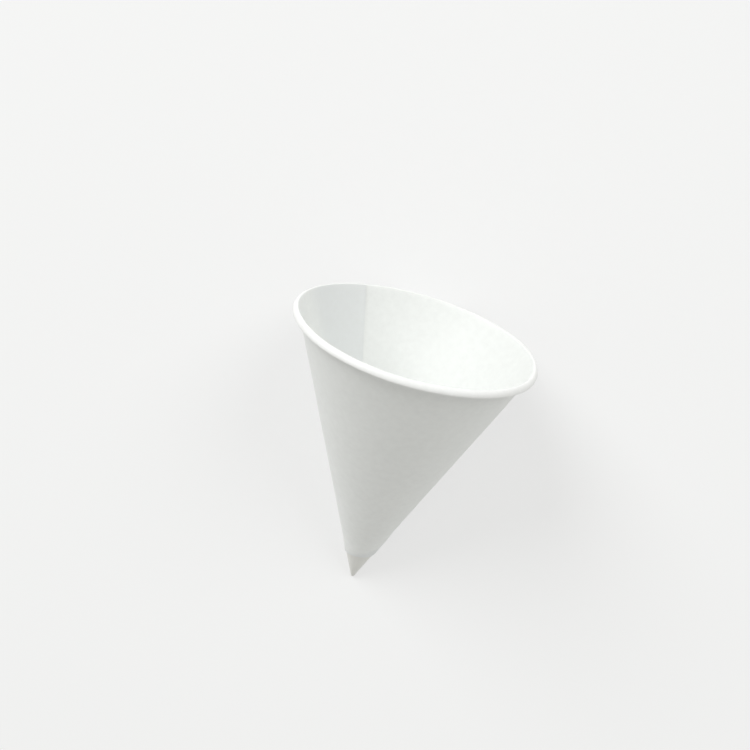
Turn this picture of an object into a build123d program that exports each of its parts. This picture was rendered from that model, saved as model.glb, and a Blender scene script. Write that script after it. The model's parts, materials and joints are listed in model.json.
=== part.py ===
"""Paper cone drinking cup, lying on its side as it comes to rest on a table.

One sheet of waxed paper is wound into a cone, glued where it overlaps itself, and rolled outwards
into a bead at the mouth. The cup is drawn upright first: the point of the inside is at the origin,
the axis is +Z, and azimuth 0 is the side that the cup lies on. It is then laid down with the mouth
towards +X and the middle of its footprint at the origin.

A place on the paper is given by its slant, the distance from the point along the inner face, by its
lift, the distance off that face through the thickness, and by its azimuth round the axis.
"""

import os
from math import acos, asin, atan, atan2, cos, degrees, hypot, radians, sin

from build123d import *

# The cup, in millimetres
MOUTH_DIAMETER = 68.5  # inside, where the wall turns over into the rolled rim
DEPTH = 92.0  # inside, from the mouth to the point
PAPER = 0.25  # one thickness of the sheet
TIP_ROUND = 0.4  # inside radius of the point

# The rolled rim, drawn as a spiral of narrow flats
ROLL_DIAMETER = 2.3  # over the outside of the roll
ROLL_GAP = 0.15  # air between one turn of the roll and the next
ROLL_FLATS = 10  # flats in one turn
ROLL_STEPS = 12  # flats from the wall to the end of the sheet
ROLL_GIVE = 0.7  # how much the soft roll is pressed flat where the cup lies on it

# The glued overlap, with azimuths in degrees
INNER_EDGE_DEG = 36.0  # the sheet's first edge, seen inside the cup
OVERLAP_DEG = 34.0  # from there to the sheet's last edge, seen outside, at the rim
OVERLAP_STOP = 1.2  # the outer layer stops this far below the roll
SEAM_STOP = 0.3  # the step inside stops this much lower still
LAP_BITE = 0.05  # how far the strip that climbs over the first edge is let into the wall

# The wound point, where the sheet goes round twice
LAST_CUT = 14.7  # the straight last edge of the sheet passes this far from the point
WRAP_NEAREST = 14.7  # slant of that edge on the side where it is nearest the point
WRAP_FURTHEST = 28.5  # and on the side opposite
WIND_SLACK = 0.05  # air between the two layers there
WIND_START = 32.0  # slant up to which both layers lie on each other
WIND_END = 62.0  # slant from which the wall is one layer
CUT_OVERRUN = 2.0  # how far a cutting shape stands clear of what it cuts

# What follows from those
HALF_ANGLE = atan(MOUTH_DIAMETER / 2 / DEPTH)
LEAN_DEG = degrees(HALF_ANGLE)
RIM_SLANT = DEPTH / cos(HALF_ANGLE)
OVERLAP_SLANT = RIM_SLANT - OVERLAP_STOP
WIND_LIFT = 2 * PAPER + WIND_SLACK
TIP_SLANT = TIP_ROUND * cos(HALF_ANGLE) / sin(HALF_ANGLE)
TIP_CENTRE = TIP_ROUND / sin(HALF_ANGLE)
ROLL_PITCH = PAPER + ROLL_GAP
ROLL_START = ROLL_DIAMETER / 2 + ROLL_PITCH / 4
LAST_EDGE_DEG = INNER_EDGE_DEG + OVERLAP_DEG


def section_point(slant, lift):
    """Radius and height of a place on the paper, in the half plane of the section."""
    radius = slant * sin(HALF_ANGLE) + lift * cos(HALF_ANGLE)
    height = slant * cos(HALF_ANGLE) - lift * sin(HALF_ANGLE)
    return radius, height


def place(slant, lift, azimuth_deg):
    """A place on the paper in space, on the upright cup."""
    radius, height = section_point(slant, lift)
    turn = radians(azimuth_deg)
    return Vector(radius * cos(turn), radius * sin(turn), height)


def turned(edges, azimuth_deg=0, arc_deg=360):
    """The solid that a closed section makes as it goes round the axis from an azimuth."""
    section = Plane.XZ * make_face(Wire(edges))
    return Rot(0, 0, azimuth_deg) * revolve(section, Axis.Z, revolution_arc=arc_deg)


def strip(low_slant, high_slant, low_lift, high_lift):
    """The section of a layer with straight ends."""
    corners = (
        section_point(low_slant, low_lift),
        section_point(high_slant, low_lift),
        section_point(high_slant, high_lift),
        section_point(low_slant, high_lift),
    )
    return Polyline(*corners, close=True).edges()


def tip_arc(lift):
    """The rounded point of the section, from the axis to the wall, at a lift off the inside."""
    return CenterArc((0, TIP_CENTRE), TIP_ROUND + lift, -90, 90 - LEAN_DEG)


def roll_points(lift):
    """One face of the rolled rim, from the wall to the end of the sheet: lift 0 is its outside."""
    centre_radius, centre_height = section_point(RIM_SLANT, ROLL_START)
    points = []
    for step in range(ROLL_STEPS + 1):
        turns = step / ROLL_FLATS
        radius = ROLL_START - lift - ROLL_PITCH * turns
        angle = radians(180 - LEAN_DEG - 360 * turns)
        points.append((centre_radius + radius * cos(angle), centre_height + radius * sin(angle)))
    return points


def wound_wall():
    """The wall and its rolled rim as one turned section, two layers thick towards the point."""
    inside_tip = tip_arc(0)
    outside_tip = tip_arc(WIND_LIFT)
    sheet = Polyline(
        section_point(TIP_SLANT, 0),
        *roll_points(0),
        *reversed(roll_points(PAPER)),
        section_point(WIND_END, PAPER),
        section_point(WIND_START, WIND_LIFT),
        section_point(TIP_SLANT, WIND_LIFT),
    )
    return turned([inside_tip, *sheet.edges(), outside_tip, Line(outside_tip @ 0, inside_tip @ 0)])


def tangent_plane(azimuth_deg, lift):
    """The flat that touches the lifted cone along one line from the point to the rim."""
    outward = Vector(cos(HALF_ANGLE), 0, -sin(HALF_ANGLE)).rotate(Axis.Z, azimuth_deg)
    return Plane(origin=place(RIM_SLANT, lift, azimuth_deg), z_dir=outward)


def climb_start():
    """Azimuth where the sheet leaves the cone to climb, straight, over its own first edge."""
    sunk_radius = section_point(RIM_SLANT, -LAP_BITE)[0]
    climbed_radius = section_point(RIM_SLANT, PAPER)[0]
    return INNER_EDGE_DEG - degrees(acos(sunk_radius / climbed_radius))


def last_edge_azimuth(slant):
    """Azimuth of the sheet's last edge, which is straight on the flat sheet, LAST_CUT from the point."""
    unrolled = acos(LAST_CUT / RIM_SLANT) - acos(LAST_CUT / slant)
    return LAST_EDGE_DEG - degrees(unrolled) / sin(HALF_ANGLE)


def last_edge_plane():
    """The plane through three places of the last edge, facing away from the overlap."""
    slants = (RIM_SLANT, WIND_END, (WIND_START + WIND_END) / 2)
    top, middle, low = (place(slant, PAPER, last_edge_azimuth(slant)) for slant in slants)
    return Plane(origin=top, x_dir=middle - top, z_dir=(low - top).cross(middle - top))


def overlap():
    """The outer layer of the overlap, let into the wall, from the climbing strip to the last edge."""
    section = strip(WIND_START, OVERLAP_SLANT, PAPER / 2, 2 * PAPER)
    start = climb_start()
    layer = turned(section, start, LAST_EDGE_DEG + OVERLAP_DEG - start)
    layer = split(layer, tangent_plane(start, PAPER - LAP_BITE), keep=Keep.BOTTOM)
    return split(layer, last_edge_plane(), keep=Keep.BOTTOM)


def seam_step():
    """What is taken from inside the wall so that the first edge of the sheet stands as a step."""
    section = strip(WIND_START, OVERLAP_SLANT - SEAM_STOP, -CUT_OVERRUN, 2 * PAPER)
    start = climb_start()
    wedge = turned(section, start, INNER_EDGE_DEG - start)
    return split(wedge, tangent_plane(start, -LAP_BITE), keep=Keep.BOTTOM)


def bared_point():
    """What lies over the inner layer of the point, below the slanting last edge of the outer one."""
    clear = WIND_LIFT + CUT_OVERRUN
    end = WRAP_FURTHEST + CUT_OVERRUN
    near_arc = tip_arc(PAPER)
    far_arc = tip_arc(clear)
    side = Polyline(
        section_point(TIP_SLANT, PAPER),
        section_point(end, PAPER),
        section_point(end, clear),
        section_point(TIP_SLANT, clear),
    )
    shell = turned([near_arc, *side.edges(), far_arc, Line(far_arc @ 0, near_arc @ 0)])
    foot_deg = LAST_EDGE_DEG - degrees(acos(LAST_CUT / RIM_SLANT)) / sin(HALF_ANGLE)
    low = place(WRAP_NEAREST, PAPER, foot_deg)
    high = place(WRAP_FURTHEST, PAPER, foot_deg + 180)
    along = high - low
    up = along.cross(Vector(0, 0, 1).cross(along))
    return split(shell, Plane(origin=low, x_dir=along, z_dir=up), keep=Keep.BOTTOM)


def upright_cup():
    """The whole cup, standing on its point."""
    return wound_wall() + overlap() - seam_step() - bared_point()


def rest_angle():
    """Angle in degrees of the axis above the table when the cup lies on its roll and its point."""
    radius, height = roll_points(0)[ROLL_FLATS // 2]
    rise = height - TIP_CENTRE
    lowered = ROLL_GIVE + TIP_ROUND + PAPER
    return degrees(atan2(radius, rise) - asin(lowered / hypot(radius, rise)))


def laid_down(upright):
    """A shape of the upright cup, laid down with its point on the table and cut off at the table."""
    tip_height = TIP_CENTRE * sin(radians(rest_angle())) - TIP_ROUND - PAPER
    laid = Pos(0, 0, -tip_height) * Rot(0, 90 - rest_angle(), 0) * upright
    return split(laid, Plane.XY, keep=Keep.TOP)


def pressed_skin():
    """The paper of the roll where the table presses it flat."""
    outline = Polyline(*roll_points(0)[: ROLL_FLATS + 1], close=True)
    return split(laid_down(turned(outline.edges())), Plane.XY.offset(PAPER), keep=Keep.BOTTOM)


def lying_cup():
    """The cup laid on the table, with the roll pressed flat where it touches."""
    laid = laid_down(upright_cup()) + pressed_skin()
    middle = laid.bounding_box().center()
    return Pos(-middle.X, -middle.Y, 0) * laid


if __name__ == "__main__":
    os.makedirs("parts", exist_ok=True)
    export_step(lying_cup(), "parts/cone_cup.step")
    print("axis above the table, degrees:", round(rest_angle(), 3))
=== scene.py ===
import json
from math import acos, atan, atan2, cos, degrees, hypot, pi, radians, sin, sqrt, tan

import bpy
from mathutils import Matrix, Vector, noise


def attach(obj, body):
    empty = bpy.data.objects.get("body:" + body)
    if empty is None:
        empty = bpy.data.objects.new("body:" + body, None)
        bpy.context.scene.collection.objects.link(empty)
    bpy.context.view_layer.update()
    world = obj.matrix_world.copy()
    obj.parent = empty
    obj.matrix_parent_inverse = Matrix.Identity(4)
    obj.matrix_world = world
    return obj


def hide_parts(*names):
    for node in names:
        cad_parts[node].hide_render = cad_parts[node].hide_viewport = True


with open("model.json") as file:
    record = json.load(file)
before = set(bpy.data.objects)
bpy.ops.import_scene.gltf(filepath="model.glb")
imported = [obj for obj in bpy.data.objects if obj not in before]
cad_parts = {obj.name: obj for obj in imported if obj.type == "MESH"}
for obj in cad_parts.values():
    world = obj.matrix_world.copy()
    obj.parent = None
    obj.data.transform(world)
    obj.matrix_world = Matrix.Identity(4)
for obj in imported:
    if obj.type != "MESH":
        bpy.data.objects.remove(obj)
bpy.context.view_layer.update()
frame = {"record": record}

# A paper cone cup, lying on a white table. One sheet of waxed paper is wound into a cone, lapped
# over its own first edge, and rolled outwards at the mouth. Lengths are in metres.
# A place on the sheet is given by its slant, the distance from the point of the cup along the paper,
# and by its turn, the angle in degrees round the cup's axis. Turn 0 is the side that the cup lies on,
# and the count goes on from one winding of the sheet to the next.
FULL_TURN = 360.0

# The cup
MOUTH_RADIUS = 0.03425
DEPTH = 0.092
PAPER = 0.00025  # one thickness of the sheet
TIP_ROUND = 0.0004  # inside radius of the point
HALF_ANGLE = atan(MOUTH_RADIUS / DEPTH)
RIM_RISE = 0.0003  # how far above the mouth the roll starts
RIM_SLANT = DEPTH / cos(HALF_ANGLE) + RIM_RISE

# How finely the sheet is divided
COLUMNS = 280
BEND_COLUMN = 228  # from here on the lower edge is cut with a plane
WALL_ROWS = 52
ROLL_ROWS = 30
LINING_COLUMNS = 256
LINING_ROWS = 21
NECK_ROWS = 6
TIP_ROWS = 4

# The lap, in degrees of turn: the sheet climbs over its own first edge and ends outside
FIRST_EDGE = 35.5
LAP = 34.0
CLIMB = 8.5
LAP_START = FIRST_EDGE + FULL_TURN
LAST_EDGE = LAP_START + LAP
LAYER = 0.00027  # how far one layer lifts the next

# The rolled rim, a pressed oval that leans away from the wall. Its half sizes are those at the start
# of the roll, and it closes in by the pitch with each turn.
ROLL_HALF_THICK = 0.00067
ROLL_HALF_LONG = 0.00115
ROLL_LEAN = radians(56.0)
ROLL_PITCH = 0.0003
ROLL_TURNS = 1.05
LAPPED_ROLL_TURNS = 0.86  # the first layer, where the last one is rolled inside it
LAST_ROLL_TURNS = 0.5  # the last layer there
ROLL_EASE = 12.0  # degrees of turn over which one changes to the other
ROLL_START = atan2(ROLL_HALF_LONG * sin(ROLL_LEAN), ROLL_HALF_THICK * cos(ROLL_LEAN))
ROLL_MEAN_RADIUS = (ROLL_HALF_THICK + ROLL_HALF_LONG - ROLL_PITCH * ROLL_TURNS) / 2.0
ROLL_LENGTH = 2.0 * pi * ROLL_TURNS * ROLL_MEAN_RADIUS

# The wound point: the lining is the sheet's first winding, and the last edge is cut straight
LAST_CUT = 0.0147  # how far from the point of the cup the last edge passes
START_CUT = 0.0107  # slant of the sheet's lower edge where the lining ends
LINING_START = 0.013  # slant of the lining's upper edge at its inner end
LINING_TOP = START_CUT + (RIM_SLANT - START_CUT) * LINING_ROWS / WALL_ROWS  # and at the first edge
LINING_CURVE = 2.6
LINING_EASE = 0.006
TIP_SLANT = TIP_ROUND * cos(HALF_ANGLE) / sin(HALF_ANGLE)
TIP_ARC = TIP_ROUND * (pi / 2.0 - HALF_ANGLE)
TIP_CENTRE = TIP_ROUND / sin(HALF_ANGLE)
TIP_EASE = 0.003

# How far the paper strays from a true cone: swells of the rim, as how many times round, height and
# turn of a peak, then the skew of the rim, further up the cone on one side, and small waves
RIM_SWELLS = ((2, 0.00012, 31.0), (3, 0.00016, 65.0), (4, 0.00016, 59.0))
RIM_SKEW = 0.001
SKEW_SIDE = 90.0
WAVE_HEIGHT = 0.00012
WAVE_SIZE = 0.016
EDGE_SPRING = 0.00007  # how far the last edge springs up
EDGE_REACH = 0.004  # and how far into the sheet that reaches
PRESS_SOFTNESS = 0.0001  # how softly the roll flattens on the table

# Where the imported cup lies
MOUTH = next(mount for mount in frame["record"]["mounts"] if mount["name"] == "mouth")
AXIS = Vector(MOUTH["axis"]).normalized()
MOUTH_CENTRE = Vector(MOUTH["pos_m"])
POINT = MOUTH_CENTRE - AXIS * DEPTH
DOWNWARD = Vector((AXIS.z, 0.0, -AXIS.x))
SIDEWAYS = Vector((0.0, 1.0, 0.0))

# What the modelling of the sheet goes by
BY_POINT = (True, False, False)
BY_FACE = (False, False, True)
FLAT_CENTRE = (0.0, 0.0, 0.0)
SPIN_AXIS = (0.0, 0.0, -1.0)
CUT_REACH = 0.00002  # points this near to the cut are taken onto it
MERGE_REACH = 0.000002
EDGE_MARGIN = 0.01  # degrees within which a place counts as on the first edge
WALL_SHARE = 0.9  # share of the depth that is clear of the roll
OUTWARDS = 1.0  # the side of the sheet that the thickness is added on
CUT_EDGE_SLOT = 1  # which of the cup's materials is the cut edge
CREASE_ANGLE = radians(40.0)  # edges sharper than this stay sharp

# The paper's colours, with painted shade and a painted highlight among them, and the share of cloud grey
# over them
SINGLE_WHITE = (0.893, 0.905, 0.892, 1.0)
# painted shade: double paper is drawn greyer, for the light that passes less through two layers than one
PAINTED_SHADE_GREY = (0.819, 0.835, 0.838, 1.0)
# the lining, where it shows at the point, is drawn a warmer and darker white than the sheet
LINING_WHITE = (0.83, 0.825, 0.79, 1.0)
# painted highlight: the rolled rim is drawn whiter than the sheet, for the light it catches
ROLL_HIGHLIGHT_WHITE = (0.94, 0.94, 0.935, 1.0)
CLOUD_GREY = (0.76, 0.765, 0.755, 1.0)
CLOUD_DEPTH = 0.3
CUT_WHITE = (0.9, 0.9, 0.89, 1.0)
CUT_GREY = (0.8, 0.8, 0.78, 1.0)

# The painted shade of double paper, for less light through two layers, ends softly: over this many
# degrees at the lap, and this far past the last edge, and over this slant at the upper edge of the lining
LAP_FADE = 18.0
LAP_FADE_PAST = 14.0
LINING_FADE = 0.002

# The paper's grain. Clouds, fibres and wax patches are counted to a sheet, creases to a radian of it.
SHEET_MAP = "UVMap"
FULL_SPAN = (0.0, 1.0)
NOISE_SPAN = (0.3, 0.7)  # where most of a noise lies
EVEN_NOISE = 0.5
CLOUD_DETAIL = 5.0
CLOUD_ROUGHNESS = 0.62
FIBRE_LAY = radians(25.0)
FIBRE_STRETCH = 0.2
LONG_FIBRE_DETAIL = 3.0
LONG_FIBRE_HEIGHT = 0.7
SHORT_FIBRE_DETAIL = 2.0
# painted highlight: over these slants the roll changes to its whiter colour
ROLL_SPAN = (1.0, 1.006)  # slants, as shares of the rim's, over which the roll takes on its white
CREASES = 900.0
CREASE_DETAIL = 2.0

# The waxed finish
WAXED_CLOUDS = 46.0
WAXED_FIBRES = 300.0
WAX_PATCHES = 9.0
WAX_DETAIL = 3.0
WAX_ROUGHNESS = (0.42, 0.62)
WAX_COAT = 0.12
WAX_COAT_ROUGHNESS = 0.35
WAXED_BUMP = 0.16
WAXED_BUMP_DEPTH = 0.00006

# The cut edge's finish
EDGE_CLOUDS = 160.0
EDGE_FIBRES = 700.0
EDGE_ROUGHNESS = (0.8, 0.95)
EDGE_BUMP = 0.4
EDGE_BUMP_DEPTH = 0.00005

# The colour sockets of a mix node
MIX_FIRST = 6
MIX_SECOND = 7
MIX_RESULT = 2

# The table and the room, each with what it gives as light and what the camera sees of it
WHITE = (1.0, 1.0, 1.0, 1.0)
TABLE_SIZE = 6.0
TABLE_WHITE = (0.8, 0.8, 0.8, 1.0)
TABLE_SEEN = (0.42, 0.42, 0.42, 1.0)
TABLE_GLOW = 0.5
TABLE_ROUGHNESS = 0.9
ROOM_COLOUR = (1.0, 1.0, 0.96, 1.0)
ROOM_LIGHT = 0.495
ROOM_SEEN = 0.94

# The lamps, each with its direction from the cup
LAMP_SIZE = 1.25
LAMP_DISTANCE = 2.0
LAMP_AIM = Vector((0.01, 0.0, 0.03))
LAMP_COLOUR = (0.985, 1.0, 1.0)
KEY_FROM = (0.62, 0.7, 0.62)
KEY_WATTS = 21.8
SIDE_FROM = (0.62, -0.5, 0.7)
SIDE_WATTS = 10.7

# The camera: its right, down and forward as shares of the cup's axis, right side and underside, then
# its place from the middle of the mouth along those three
CAMERA_RIGHT = Vector((0.21839, 0.96504, 0.14491))
CAMERA_DOWN = Vector((-0.88553, 0.25838, -0.3861))
CAMERA_FORWARD = Vector((-0.41005, -0.044, 0.911))
CAMERA_SEAT = Vector((-0.01223, 0.01236, -0.18578))
SENSOR_WIDTH_MM = 36.0
LENS_MM = 31.3
NEAREST_SEEN = 0.01


def smooth(share):
    """0 below 0, 1 above 1, and an easy curve between."""
    share = min(max(share, 0.0), 1.0)
    return share * share * (3.0 - 2.0 * share)


def spread(first, last, steps):
    """Evenly spaced values, both ends included."""
    return [first + (last - first) * step / steps for step in range(steps + 1)]


def flat_angle(turn):
    """Angle on the flat sheet, in radians from its first edge, of a turn in degrees."""
    return radians(turn - FIRST_EDGE) * sin(HALF_ANGLE)


# The straight last edge is nearest to the point of the cup at its foot
FOOT_ANGLE = flat_angle(LAST_EDGE) - acos(LAST_CUT / RIM_SLANT)
FOOT_TURN = FIRST_EDGE + degrees(FOOT_ANGLE / sin(HALF_ANGLE))
BEND_TURN = FIRST_EDGE + (LAST_EDGE - FIRST_EDGE) * BEND_COLUMN / COLUMNS


def lower_edge(turn):
    """Slant of the sheet's lower edge, up to the bend."""
    if turn < FOOT_TURN:
        wound = (turn - FIRST_EDGE) / (FOOT_TURN - FIRST_EDGE)
        return START_CUT + (LAST_CUT - START_CUT) * smooth(wound)
    return LAST_CUT / cos(flat_angle(min(turn, BEND_TURN)) - FOOT_ANGLE)


def last_edge_turn(slant):
    """Turn at which the sheet ends, at a slant."""
    if slant <= LAST_CUT:
        return FOOT_TURN
    return FOOT_TURN + degrees(acos(LAST_CUT / slant) / sin(HALF_ANGLE))


def lining_edge(turn):
    """Slant of the upper edge of the lining."""
    wound = min(max((turn - FIRST_EDGE + FULL_TURN) / FULL_TURN, 0.0), 1.0)
    return LINING_START + (LINING_TOP - LINING_START) * wound**LINING_CURVE


def roll_turns(turn):
    """How many turns the rim is rolled, fewer where two thicknesses of the sheet are rolled together."""
    lapped = 1.0 - smooth((turn - FIRST_EDGE - LAP) / ROLL_EASE)
    last = smooth((turn - LAST_EDGE + LAP + ROLL_EASE) / ROLL_EASE)
    turns = ROLL_TURNS + (LAPPED_ROLL_TURNS - ROLL_TURNS) * lapped
    return turns + (LAST_ROLL_TURNS - turns) * last


def climb(turn, top):
    """How far the paper has climbed over an edge that lies under it at a turn."""
    return LAYER * smooth((turn - top + CLIMB) / CLIMB)


def over_lining(slant, turn):
    """How far the sheet is pushed off the cone by the lining under it."""
    edge = lining_edge(turn - FULL_TURN)
    return LAYER * smooth((edge + LINING_EASE - slant) / LINING_EASE)


def spring(slant, turn):
    """How far the paper springs up along its last edge."""
    if turn < FOOT_TURN:
        inside = slant - lower_edge(turn)
    else:
        inside = slant * cos(flat_angle(turn) - FOOT_ANGLE) - LAST_CUT
    return EDGE_SPRING * (1.0 - smooth(inside / EDGE_REACH))


def sheet_lift(slant, turn):
    """How far the inner face of the sheet stands off the cone."""
    if turn < FIRST_EDGE:
        again = smooth((LINING_START + LINING_EASE - slant) / LINING_EASE)
        return climb(turn, FIRST_EDGE) * again * smooth((slant - TIP_SLANT) / TIP_EASE)
    if turn > LAP_START:
        return LAYER + over_lining(slant, turn - FULL_TURN) + spring(slant, turn)
    lift = max(climb(turn, LAP_START), over_lining(slant, turn))
    return lift + spring(slant, turn)


def stray(turn):
    """How far out, and how far up the cone, the rim stands from its true place at a turn."""
    swell = 0.0
    for times, height, peak in RIM_SWELLS:
        swell += height * cos(times * radians(turn - peak))
    return swell, RIM_SKEW * cos(radians(turn - SKEW_SIDE))


def cup_place(radius, height, turn):
    """A place in space from its radius and its height along the cup's axis."""
    angle = radians(turn)
    outward = DOWNWARD * cos(angle) + SIDEWAYS * sin(angle)
    spot = POINT + AXIS * height + outward * radius
    wave = WAVE_HEIGHT * noise.noise(spot / WAVE_SIZE)
    swell, skew = stray(turn)
    swelling = (outward - AXIS * tan(HALF_ANGLE)) * (swell + wave)
    skewing = (outward * sin(HALF_ANGLE) + AXIS * cos(HALF_ANGLE)) * skew
    return spot + (swelling + skewing) * (height / DEPTH)


def wall_place(slant, lift, turn):
    """A place on the wall."""
    radius = slant * sin(HALF_ANGLE) + lift * cos(HALF_ANGLE)
    height = slant * cos(HALF_ANGLE) - lift * sin(HALF_ANGLE)
    return cup_place(radius, height, turn)


def roll_section(turned, lift):
    """How far up the wall, and how far off it, a place on the roll is from the middle of the roll."""
    angle = ROLL_START + 2.0 * pi * turned
    closed_in = lift + ROLL_PITCH * turned
    across = (closed_in - ROLL_HALF_THICK) * cos(angle)
    along = (ROLL_HALF_LONG - closed_in) * sin(angle)
    up_wall = across * sin(ROLL_LEAN) + along * cos(ROLL_LEAN)
    off_wall = across * cos(ROLL_LEAN) - along * sin(ROLL_LEAN)
    return up_wall, off_wall


def roll_place(share, lift, turn):
    """A place on the rolled rim, at a share of the rolled length, pressed flat on the table."""
    start_up, start_off = roll_section(0.0, lift)
    up_wall, off_wall = roll_section(roll_turns(turn) * share, lift)
    spot = wall_place(RIM_SLANT + up_wall - start_up, lift + off_wall - start_off, turn)
    spot.z = (spot.z + sqrt(spot.z**2 + PRESS_SOFTNESS**2)) / 2.0
    return spot


def tip_place(slant, turn):
    """A place on the rounded point."""
    angle = (slant - TIP_SLANT + TIP_ARC) / TIP_ROUND - pi / 2.0
    return cup_place(TIP_ROUND * cos(angle), TIP_CENTRE + TIP_ROUND * sin(angle), turn)


def wound_place(slant, turn):
    """Where a place on the flat sheet is on the wound cup."""
    lift = sheet_lift(min(slant, RIM_SLANT), turn)
    if slant > RIM_SLANT:
        return roll_place((slant - RIM_SLANT) / ROLL_LENGTH, lift, turn)
    if slant < TIP_SLANT:
        return tip_place(slant, turn)
    return wall_place(slant, lift, turn)


def painted_double_shade(slant, turn):
    """How far a place has the painted shade of double paper: 0 for one layer, 1 for two, and a soft end
    past the last edge.
    """
    if turn < FIRST_EDGE or turn > LAP_START:
        return 1.0
    lapped = smooth((last_edge_turn(slant) - FULL_TURN + LAP_FADE_PAST - turn) / LAP_FADE)
    lined = smooth((lining_edge(turn - FULL_TURN) + LINING_FADE / 2.0 - slant) / LINING_FADE)
    return max(lapped, lined)


def only_select(piece):
    """Makes a piece the one that the next operators work on."""
    bpy.ops.object.select_all(action="DESELECT")
    piece.select_set(True)
    bpy.context.view_layer.objects.active = piece


def paper_fan(name, slants, last_turn, columns):
    """A flat fan of paper: a line of points drawn out along the first edge, then spun about the point."""
    bpy.ops.object.select_all(action="DESELECT")
    bpy.context.tool_settings.mesh_select_mode = BY_POINT
    bpy.ops.mesh.primitive_plane_add(size=PAPER)
    fan = bpy.context.object
    fan.name = name
    bpy.ops.object.mode_set(mode="EDIT")
    bpy.ops.mesh.select_all(action="SELECT")
    bpy.ops.mesh.merge(type="CENTER")
    bpy.ops.transform.translate(value=(slants[0], 0.0, 0.0))
    for here, there in zip(slants, slants[1:]):
        bpy.ops.mesh.extrude_region_move(TRANSFORM_OT_translate={"value": (there - here, 0.0, 0.0)})
    bpy.ops.mesh.select_all(action="SELECT")
    bpy.ops.mesh.spin(steps=columns, angle=flat_angle(last_turn), center=FLAT_CENTRE, axis=SPIN_AXIS)
    bpy.ops.object.mode_set(mode="OBJECT")
    return fan


def slant_and_turn(flat):
    """The slant and turn of a place on the flat sheet."""
    return hypot(flat.x, flat.y), FIRST_EDGE + degrees(atan2(flat.y, flat.x) / sin(HALF_ANGLE))


def reslant(fan, new_slant):
    """Moves each point of a flat fan along its own line from the point of the cup."""
    for vertex in fan.data.vertices:
        slant, turn = slant_and_turn(vertex.co)
        vertex.co *= new_slant(slant, turn) / slant


def shaped_wall(slant, turn):
    """Slants of the main fan, fitted to the lower edge."""
    if slant > RIM_SLANT:
        return slant
    share = (RIM_SLANT - slant) / (RIM_SLANT - START_CUT)
    return RIM_SLANT - share * (RIM_SLANT - lower_edge(turn))


def shaped_lining(slant, turn):
    """Slants of the lining's fan, fitted to its upper edge."""
    if slant < START_CUT:
        return slant
    share = (slant - START_CUT) / (LINING_TOP - START_CUT)
    return START_CUT + share * (lining_edge(turn) - START_CUT)


def cut_last_edge(fan):
    """Cuts the straight last edge of the sheet, past the bend."""
    only_select(fan)
    bpy.context.tool_settings.mesh_select_mode = BY_FACE
    for group in (fan.data.vertices, fan.data.edges):
        for part in group:
            part.select = False
    for face in fan.data.polygons:
        face.select = slant_and_turn(face.center)[1] > BEND_TURN
    bpy.ops.object.mode_set(mode="EDIT")
    away = Vector((cos(FOOT_ANGLE), sin(FOOT_ANGLE), 0.0))
    foot = away * LAST_CUT
    bpy.ops.mesh.bisect(plane_co=foot, plane_no=away, clear_inner=True, threshold=CUT_REACH)
    bpy.ops.object.mode_set(mode="OBJECT")


def wind(fan):
    """Rolls the flat sheet up into the cup, and keeps each place's spot on the sheet as its UV."""
    mesh = fan.data
    spots = mesh.uv_layers[SHEET_MAP].data
    for loop in mesh.loops:
        flat = mesh.vertices[loop.vertex_index].co
        spots[loop.index].uv = (flat.x / RIM_SLANT, flat.y / RIM_SLANT)
    # how far each place shows the painted shade of double paper
    painted_shade_share = mesh.attributes.new("painted_shade_share", "FLOAT", "POINT")
    lining = mesh.attributes.new("lining", "FLOAT", "POINT")
    for vertex in mesh.vertices:
        slant, turn = slant_and_turn(vertex.co)
        painted_shade_share.data[vertex.index].value = painted_double_shade(slant, turn)
        lining.data[vertex.index].value = float(turn < FIRST_EDGE - EDGE_MARGIN)
        vertex.co = wound_place(slant, turn)


def faces_inwards(piece):
    """Whether the wall's faces look towards the cup's axis."""
    facing = 0.0
    for face in piece.data.polygons:
        along = (face.center - POINT).dot(AXIS)
        if along < DEPTH * WALL_SHARE:
            facing += face.normal.dot(face.center - POINT - AXIS * along)
    return facing < 0.0


def close_sheet(piece):
    """Merges the sheet with its lining and turns its faces outwards."""
    only_select(piece)
    bpy.ops.object.mode_set(mode="EDIT")
    bpy.ops.mesh.select_all(action="SELECT")
    bpy.ops.mesh.remove_doubles(threshold=MERGE_REACH)
    bpy.ops.mesh.normals_make_consistent(inside=False)
    bpy.ops.object.mode_set(mode="OBJECT")
    if faces_inwards(piece):
        bpy.ops.object.mode_set(mode="EDIT")
        bpy.ops.mesh.flip_normals()
        bpy.ops.object.mode_set(mode="OBJECT")


def thicken(piece):
    """Gives the sheet the paper's thickness."""
    solid = piece.modifiers.new("paper", "SOLIDIFY")
    solid.thickness = PAPER
    solid.offset = OUTWARDS
    solid.use_even_offset = True
    solid.use_quality_normals = True
    solid.material_offset_rim = CUT_EDGE_SLOT
    bpy.ops.object.modifier_apply(modifier=solid.name)
    bpy.ops.object.shade_smooth_by_angle(angle=CREASE_ANGLE)


def wound_sheet():
    """The sheet from its first edge to its last, with the rolled rim."""
    wall_slants = spread(START_CUT, RIM_SLANT, WALL_ROWS)
    roll_slants = spread(RIM_SLANT, RIM_SLANT + ROLL_LENGTH, ROLL_ROWS)
    sheet = paper_fan("paper_cone", wall_slants + roll_slants[1:], LAST_EDGE, COLUMNS)
    reslant(sheet, shaped_wall)
    cut_last_edge(sheet)
    wind(sheet)
    return sheet


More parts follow.
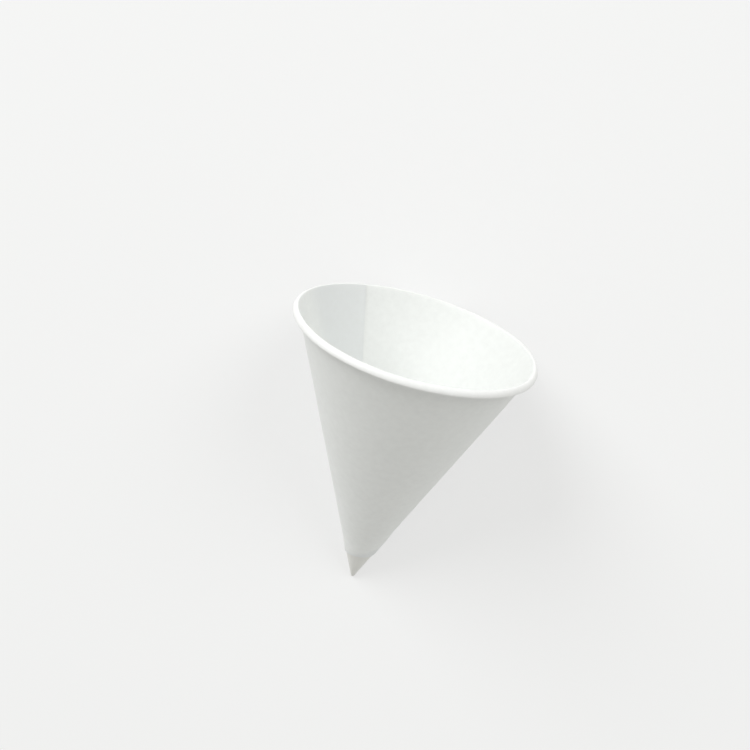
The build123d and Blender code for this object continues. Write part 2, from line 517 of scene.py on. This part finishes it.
def wound_lining():
    """The first winding of the sheet, inside the point."""
    tip_slants = spread(TIP_SLANT - TIP_ARC, TIP_SLANT, TIP_ROWS)
    neck_slants = spread(TIP_SLANT, START_CUT, NECK_ROWS)
    lining_slants = spread(START_CUT, LINING_TOP, LINING_ROWS)
    slants = tip_slants + neck_slants[1:] + lining_slants[1:]
    lining = paper_fan("lining", slants, FIRST_EDGE - FULL_TURN, LINING_COLUMNS)
    reslant(lining, shaped_lining)
    wind(lining)
    return lining


def wound_cup(materials):
    """The whole cup: the sheet and its lining, joined along the first edge."""
    sheet = wound_sheet()
    lining = wound_lining()
    only_select(sheet)
    lining.select_set(True)
    bpy.ops.object.join()
    for material in materials:
        sheet.data.materials.append(material)
    close_sheet(sheet)
    thicken(sheet)
    return sheet


def add_node(tree, kind, **settings):
    """A node with its settings."""
    node = tree.nodes.new(kind)
    for name, value in settings.items():
        setattr(node, name, value)
    return node


def feed(tree, socket, value):
    """Gives a socket a plain value, or links another socket to it."""
    if isinstance(value, bpy.types.NodeSocket):
        tree.links.new(value, socket)
    else:
        socket.default_value = value


def scaled(tree, value, span, new_span):
    """A value taken from one span into another, and held there."""
    node = add_node(tree, "ShaderNodeMapRange")
    feed(tree, node.inputs["Value"], value)
    for name, end in zip(("From Min", "From Max", "To Min", "To Max"), (*span, *new_span)):
        feed(tree, node.inputs[name], end)
    return node.outputs["Result"]


def calculated(tree, operation, *values):
    """The result of one operation on values, each a number or a socket."""
    node = add_node(tree, "ShaderNodeMath", operation=operation)
    for socket, value in zip(node.inputs, values):
        feed(tree, socket, value)
    return node.outputs["Value"]


def tinted(tree, amount, first, second):
    """A colour mixed from two, each a colour or a socket, by an amount from 0 to 1."""
    node = add_node(tree, "ShaderNodeMix", data_type="RGBA")
    feed(tree, node.inputs["Factor"], amount)
    feed(tree, node.inputs[MIX_FIRST], first)
    feed(tree, node.inputs[MIX_SECOND], second)
    return node.outputs[MIX_RESULT]


def attribute(tree, name):
    """A value that is kept on the mesh."""
    return add_node(tree, "ShaderNodeAttribute", attribute_name=name).outputs["Fac"]


def noise_over(tree, vector, scale, detail, roughness=EVEN_NOISE):
    """A noise over the sheet. Its scale is a number or a socket."""
    node = add_node(tree, "ShaderNodeTexNoise")
    feed(tree, node.inputs["Vector"], vector)
    feed(tree, node.inputs["Scale"], scale)
    feed(tree, node.inputs["Detail"], detail)
    feed(tree, node.inputs["Roughness"], roughness)
    return node.outputs["Fac"]


def empty_grain():
    """The paper grain's node group with its sockets, still without what is between them."""
    group = bpy.data.node_groups.new("paper_grain", "ShaderNodeTree")
    group.interface.new_socket("Sheet", in_out="INPUT", socket_type="NodeSocketVector")
    for name in ("Clouds", "Fibres"):
        group.interface.new_socket(name, in_out="INPUT", socket_type="NodeSocketFloat")
    for name in ("Cloudiness", "Fibre Height"):
        group.interface.new_socket(name, in_out="OUTPUT", socket_type="NodeSocketFloat")
    return group


def paper_grain():
    """The make-up of the paper, on sheet coordinates: cloudy patches of fibre, and the fibres."""
    group = empty_grain()
    given = add_node(group, "NodeGroupInput").outputs
    made = add_node(group, "NodeGroupOutput").inputs
    clouds = noise_over(group, given["Sheet"], given["Clouds"], CLOUD_DETAIL, CLOUD_ROUGHNESS)
    feed(group, made["Cloudiness"], scaled(group, clouds, NOISE_SPAN, FULL_SPAN))
    lay = add_node(group, "ShaderNodeMapping")
    feed(group, lay.inputs["Vector"], given["Sheet"])
    feed(group, lay.inputs["Rotation"], (0.0, 0.0, FIBRE_LAY))
    feed(group, lay.inputs["Scale"], (FIBRE_STRETCH, 1.0, 1.0))
    long_fibres = noise_over(group, lay.outputs["Vector"], given["Fibres"], LONG_FIBRE_DETAIL)
    short_fibres = noise_over(group, given["Sheet"], given["Fibres"], SHORT_FIBRE_DETAIL)
    height = calculated(group, "MULTIPLY_ADD", long_fibres, LONG_FIBRE_HEIGHT, short_fibres)
    feed(group, made["Fibre Height"], height)
    return group


def grain_in(tree, group, clouds, fibres):
    """The sheet coordinates in a material, and the paper grain there, this many to a sheet."""
    node = add_node(tree, "ShaderNodeGroup", node_tree=group)
    sheet = add_node(tree, "ShaderNodeUVMap", uv_map=SHEET_MAP).outputs["UV"]
    feed(tree, node.inputs["Sheet"], sheet)
    feed(tree, node.inputs["Clouds"], clouds)
    feed(tree, node.inputs["Fibres"], fibres)
    return sheet, node.outputs


def new_material(name):
    """A material, and its shader."""
    material = bpy.data.materials.new(name)
    material.use_nodes = True
    return material, material.node_tree.nodes["Principled BSDF"]


def bump(tree, shader, height, strength, depth):
    """Raises the surface of a material by a height."""
    node = add_node(tree, "ShaderNodeBump")
    feed(tree, node.inputs["Strength"], strength)
    feed(tree, node.inputs["Distance"], depth)
    feed(tree, node.inputs["Height"], height)
    feed(tree, shader.inputs["Normal"], node.outputs["Normal"])


def rim_creases(tree, sheet):
    """How far a place is into the roll, from 0 to 1, and the fine creases across the roll."""
    slant = add_node(tree, "ShaderNodeVectorMath", operation="LENGTH")
    feed(tree, slant.inputs[0], sheet)
    rolled = scaled(tree, slant.outputs["Value"], ROLL_SPAN, FULL_SPAN)
    parts = add_node(tree, "ShaderNodeSeparateXYZ")
    feed(tree, parts.inputs["Vector"], sheet)
    angle = calculated(tree, "ARCTAN2", parts.outputs["Y"], parts.outputs["X"])
    creases = add_node(tree, "ShaderNodeTexNoise", noise_dimensions="1D")
    feed(tree, creases.inputs["W"], angle)
    feed(tree, creases.inputs["Scale"], CREASES)
    feed(tree, creases.inputs["Detail"], CREASE_DETAIL)
    return rolled, calculated(tree, "MULTIPLY", creases.outputs["Fac"], rolled)


def waxed_paper(grain):
    """White paper under a thin coat of wax, with painted shade that makes double paper a little greyer.
    """
    material, shader = new_material("waxed_white_paper")
    tree = material.node_tree
    sheet, paper = grain_in(tree, grain, WAXED_CLOUDS, WAXED_FIBRES)
    rolled, creases = rim_creases(tree, sheet)
    # painted shade: greyer where the paper is double, fading out past the last edge
    colour = tinted(tree, attribute(tree, "painted_shade_share"), SINGLE_WHITE, PAINTED_SHADE_GREY)
    colour = tinted(tree, attribute(tree, "lining"), colour, LINING_WHITE)
    # painted highlight: the roll is drawn whiter than the sheet
    colour = tinted(tree, rolled, colour, ROLL_HIGHLIGHT_WHITE)
    patches = scaled(tree, paper["Cloudiness"], FULL_SPAN, (0.0, CLOUD_DEPTH))
    feed(tree, shader.inputs["Base Color"], tinted(tree, patches, colour, CLOUD_GREY))
    wax = noise_over(tree, sheet, WAX_PATCHES, WAX_DETAIL)
    feed(tree, shader.inputs["Roughness"], scaled(tree, wax, NOISE_SPAN, WAX_ROUGHNESS))
    feed(tree, shader.inputs["Coat Weight"], WAX_COAT)
    feed(tree, shader.inputs["Coat Roughness"], WAX_COAT_ROUGHNESS)
    height = calculated(tree, "ADD", paper["Fibre Height"], creases)
    bump(tree, shader, height, WAXED_BUMP, WAXED_BUMP_DEPTH)
    return material


def cut_paper(grain):
    """The raw cut edge of the sheet, fibrous and without wax."""
    material, shader = new_material("cut_paper_edge")
    tree = material.node_tree
    paper = grain_in(tree, grain, EDGE_CLOUDS, EDGE_FIBRES)[1]
    clouds = paper["Cloudiness"]
    feed(tree, shader.inputs["Base Color"], tinted(tree, clouds, CUT_WHITE, CUT_GREY))
    feed(tree, shader.inputs["Roughness"], scaled(tree, clouds, FULL_SPAN, EDGE_ROUGHNESS))
    bump(tree, shader, paper["Fibre Height"], EDGE_BUMP, EDGE_BUMP_DEPTH)
    return material


def seen_rays(tree):
    """1 for what the camera sees, straight or mirrored, and 0 for light that bounces."""
    rays = add_node(tree, "ShaderNodeLightPath").outputs
    mirrored = calculated(tree, "MAXIMUM", rays["Is Glossy Ray"], rays["Is Transmission Ray"])
    return calculated(tree, "MAXIMUM", rays["Is Camera Ray"], mirrored)


def white_table():
    """The floor. It glows a little to the camera, so that it shows white and keeps the shadow."""
    bpy.ops.object.select_all(action="DESELECT")
    bpy.ops.mesh.primitive_plane_add(size=TABLE_SIZE, location=(0.0, 0.0, 0.0))
    table = bpy.context.object
    table.name = "table"
    material, shader = new_material("white_table")
    tree = material.node_tree
    seen = seen_rays(tree)
    feed(tree, shader.inputs["Base Color"], tinted(tree, seen, TABLE_WHITE, TABLE_SEEN))
    feed(tree, shader.inputs["Roughness"], TABLE_ROUGHNESS)
    feed(tree, shader.inputs["Specular IOR Level"], 0.0)
    feed(tree, shader.inputs["Emission Color"], WHITE)
    feed(tree, shader.inputs["Emission Strength"], calculated(tree, "MULTIPLY", seen, TABLE_GLOW))
    table.data.materials.append(material)


def photo_camera():
    """The camera, placed from the cup as it was in the photograph."""
    cup_sides = Matrix((AXIS, -SIDEWAYS, DOWNWARD)).transposed()
    right = cup_sides @ CAMERA_RIGHT
    down = cup_sides @ CAMERA_DOWN
    forward = cup_sides @ CAMERA_FORWARD
    seat = MOUTH_CENTRE + Matrix((right, down, forward)).transposed() @ CAMERA_SEAT
    turned = Matrix((right, -down, -forward)).transposed().to_quaternion().to_matrix()
    data = bpy.data.cameras.new("photo_camera")
    data.sensor_width = SENSOR_WIDTH_MM
    data.lens = LENS_MM
    data.clip_start = NEAREST_SEEN
    camera = bpy.data.objects.new("photo_camera", data)
    bpy.context.scene.collection.objects.link(camera)
    camera.matrix_world = Matrix.Translation(seat) @ turned.to_4x4()
    bpy.context.scene.camera = camera


def soft_lamp(name, towards, watts):
    """A round soft lamp that shines on the cup from a direction."""
    data = bpy.data.lights.new(name, "AREA")
    data.shape = "DISK"
    data.size = LAMP_SIZE
    data.color = LAMP_COLOUR
    data.energy = watts
    lamp = bpy.data.objects.new(name, data)
    bpy.context.scene.collection.objects.link(lamp)
    towards = Vector(towards).normalized()
    lamp.location = LAMP_AIM + towards * LAMP_DISTANCE
    lamp.rotation_euler = towards.to_track_quat("Z", "Y").to_euler()


def white_room():
    """An even white room, dimmer as a light than it looks."""
    world = bpy.data.worlds.new("room")
    bpy.context.scene.world = world
    world.use_nodes = True
    tree = world.node_tree
    background = tree.nodes["Background"]
    seen = seen_rays(tree)
    feed(tree, background.inputs["Color"], tinted(tree, seen, ROOM_COLOUR, WHITE))
    strength = scaled(tree, seen, FULL_SPAN, (ROOM_LIGHT, ROOM_SEEN))
    feed(tree, background.inputs["Strength"], strength)


def lights():
    """A soft key from the mouth's lap side, a weaker lamp from the other side, and the room."""
    soft_lamp("key", KEY_FROM, KEY_WATTS)
    soft_lamp("side", SIDE_FROM, SIDE_WATTS)
    white_room()


grain = paper_grain()
cup = wound_cup((waxed_paper(grain), cut_paper(grain)))
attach(cup, "root")
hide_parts("cone_cup")
white_table()
photo_camera()
lights()
bpy.context.scene.view_settings.view_transform = "Standard"
